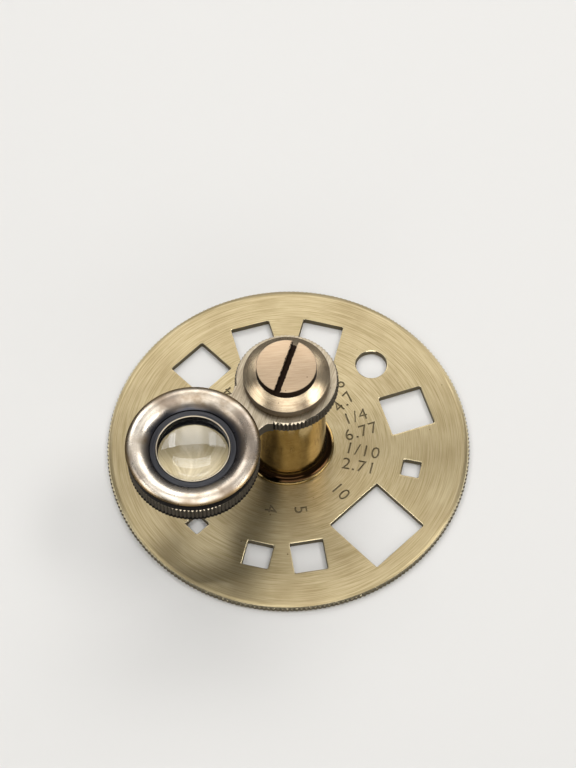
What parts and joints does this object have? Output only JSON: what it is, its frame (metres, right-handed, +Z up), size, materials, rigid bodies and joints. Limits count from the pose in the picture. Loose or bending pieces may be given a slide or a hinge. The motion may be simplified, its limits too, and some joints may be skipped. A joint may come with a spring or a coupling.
{
  "type": "linen tester",
  "caption": "Thread counter: a knurled brass disc pierced with square windows and a swivelling lens on a central pillar.",
  "frame": {"origin": "centre of the disc's underside, on the pillar's axis", "axes": "+Z up along the pillar and through the disc; -Y is the side seen from the front, +X to its right"},
  "size_m": [0.055, 0.055, 0.0251],
  "materials": {
    "disc_brass": "turned and brushed satin, lightly aged",
    "pillar_brass": "polished, deep gold, finely pitted",
    "screw_brass": "satin, faced on the lathe",
    "arm_brass": "coarse brushed, greyed",
    "washer_brass": "turned bright",
    "cap_brass": "polished, worn to a silvery brown",
    "ring_dark": "darkened blue-grey satin",
    "lens_glass": "polished optical glass"
  },
  "bodies": {
    "base": {"aperture_disc": "disc_brass", "pillar": "pillar_brass", "pillar_screw": "screw_brass", "pivot_screw": "screw_brass", "cone_washer": "washer_brass"},
    "arm": {"swivel_arm": "arm_brass", "lens_cap": "cap_brass", "lens_retainer": "ring_dark", "lens": "lens_glass"}
  },
  "joints": [
    {"name": "arm_swivel", "type": "hinge", "parent": "base", "child": "arm", "pos_m": [0, 0, 0.0202], "axis": [0, 0, 1], "continuous": true}
  ]
}
